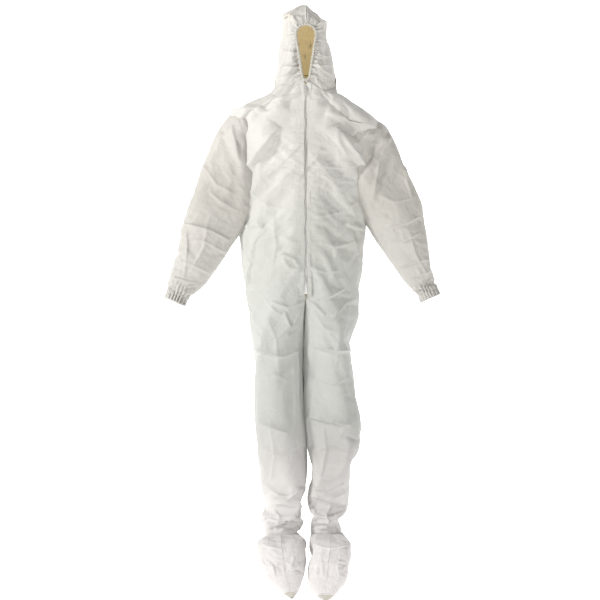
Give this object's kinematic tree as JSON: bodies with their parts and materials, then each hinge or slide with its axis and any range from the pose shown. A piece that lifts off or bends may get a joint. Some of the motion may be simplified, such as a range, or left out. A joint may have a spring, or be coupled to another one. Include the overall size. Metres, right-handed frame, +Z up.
{
  "type": "chemical protective coverall",
  "caption": "Hooded one-piece protective coverall with a front zip, gathered face opening, elastic cuffs and sewn-on booties, hanging upright as if worn.",
  "frame": {"origin": "middle of the neck seam, where the wearer's neck and shoulders carry the suit", "axes": "+Z up, the suit's front towards -Y, the wearer's left towards +X"},
  "size_m": [0.9316, 0.2699, 1.9929],
  "materials": {
    "suit_cloth": "white microporous film laminated on spunbonded nonwoven, soft low sheen",
    "hood_cloth": "the same laminate, its uncoated face showing inside the hood",
    "bootie_cloth": "the same laminate, creased and gathered",
    "sole_cloth": "thicker slip-resistant laminate, light tan grey, dull",
    "placket_cloth": "folded edges of the suit cloth beside the zip",
    "seam_tape": "narrow white seam binding",
    "elastic": "white knitted elastic band inside its casing",
    "zip_tape": "woven polyester tape, off-white",
    "zip_coil": "nylon coil, off-white, slightly shiny",
    "zip_metal": "end stops in the coil's colour",
    "zip_slider": "dark grey enamel on cast zinc, satin"
  },
  "bodies": {
    "torso": {"front_left_panel": "suit_cloth", "front_right_panel": "suit_cloth", "back_left_panel": "suit_cloth", "back_right_panel": "suit_cloth", "centre_back_seam": "seam_tape", "left_side_seam": "seam_tape", "right_side_seam": "seam_tape", "waist_elastic": "elastic", "crotch_gusset": "suit_cloth", "zip_tape_left": "zip_tape", "zip_tape_right": "zip_tape", "zip_chain_left": "zip_coil", "zip_chain_right": "zip_coil", "zip_top_stop_left": "zip_metal", "zip_top_stop_right": "zip_metal", "zip_bottom_stop": "zip_metal", "placket_left_lip": "placket_cloth", "placket_right_lip": "placket_cloth"},
    "hood": {"hood_left_panel": "hood_cloth", "hood_right_panel": "hood_cloth", "face_elastic": "elastic", "hood_centre_seam": "seam_tape"},
    "zip_slider": {"zip_slider": "zip_slider"},
    "zip_pull": {"zip_pull": "zip_slider"},
    "left_upper_sleeve": {"left_upper_sleeve": "suit_cloth"},
    "left_lower_sleeve": {"left_lower_sleeve": "suit_cloth", "left_cuff_elastic": "elastic", "left_cuff_hem": "suit_cloth"},
    "left_thigh": {"left_thigh": "suit_cloth", "left_thigh_inseam": "seam_tape"},
    "left_shin": {"left_shin": "suit_cloth", "left_shin_inseam": "seam_tape"},
    "left_bootie": {"left_bootie_upper": "bootie_cloth", "left_bootie_sole": "sole_cloth", "left_ankle_elastic": "elastic"},
    "right_upper_sleeve": {"right_upper_sleeve": "suit_cloth"},
    "right_lower_sleeve": {"right_lower_sleeve": "suit_cloth", "right_cuff_elastic": "elastic", "right_cuff_hem": "suit_cloth"},
    "right_thigh": {"right_thigh": "suit_cloth", "right_thigh_inseam": "seam_tape"},
    "right_shin": {"right_shin": "suit_cloth", "right_shin_inseam": "seam_tape"},
    "right_bootie": {"right_bootie_upper": "bootie_cloth", "right_bootie_sole": "sole_cloth", "right_ankle_elastic": "elastic"}
  },
  "joints": [
    {"name": "hood_back", "type": "hinge", "parent": "torso", "child": "hood", "pos_m": [0, 0.08304, 0.07123], "axis": [-1, 0, 0], "range_deg": [0, 50]},
    {"name": "left_shoulder_raise", "type": "hinge", "parent": "torso", "child": "left_upper_sleeve", "pos_m": [0.214, 0.002, -0.096], "axis": [0, -1, 0], "range_deg": [0, 60]},
    {"name": "left_elbow_bend", "type": "hinge", "parent": "left_upper_sleeve", "child": "left_lower_sleeve", "pos_m": [0.31513, -0.0466, -0.45298], "axis": [-0.9403, 0, 0.3404], "range_deg": [0, 90]},
    {"name": "left_hip_bend", "type": "hinge", "parent": "torso", "child": "left_thigh", "pos_m": [0.091, -0.089, -0.6906], "axis": [-1, 0, 0], "range_deg": [0, 60]},
    {"name": "left_knee_bend", "type": "hinge", "parent": "left_thigh", "child": "left_shin", "pos_m": [0.09, 0.063, -1.099], "axis": [1, 0, 0], "range_deg": [0, 90]},
    {"name": "left_ankle_flex", "type": "hinge", "parent": "left_shin", "child": "left_bootie", "pos_m": [0.077, -0.057, -1.372], "axis": [-1, 0, 0], "range_deg": [0, 45]},
    {"name": "right_shoulder_raise", "type": "hinge", "parent": "torso", "child": "right_upper_sleeve", "pos_m": [-0.214, 0.002, -0.096], "axis": [0, 1, 0], "range_deg": [0, 60]},
    {"name": "right_elbow_bend", "type": "hinge", "parent": "right_upper_sleeve", "child": "right_lower_sleeve", "pos_m": [-0.32747, -0.0466, -0.44891], "axis": [-0.9304, 0, -0.3665], "range_deg": [0, 90]},
    {"name": "right_hip_bend", "type": "hinge", "parent": "torso", "child": "right_thigh", "pos_m": [-0.091, -0.089, -0.6906], "axis": [-1, 0, 0], "range_deg": [0, 60]},
    {"name": "right_knee_bend", "type": "hinge", "parent": "right_thigh", "child": "right_shin", "pos_m": [-0.09, 0.063, -1.099], "axis": [1, 0, 0], "range_deg": [0, 90]},
    {"name": "right_ankle_flex", "type": "hinge", "parent": "right_shin", "child": "right_bootie", "pos_m": [-0.077, -0.057, -1.372], "axis": [-1, 0, 0], "range_deg": [0, 45]},
    {"name": "zip_open", "type": "slide", "parent": "torso", "child": "zip_slider", "axis": [0, 0, -1], "range_m": [0, 0.674]},
    {"name": "pull_flip", "type": "hinge", "parent": "zip_slider", "child": "zip_pull", "pos_m": [0, -0.09828, 0.01368], "axis": [-1, 0, 0], "range_deg": [0, 100]}
  ]
}
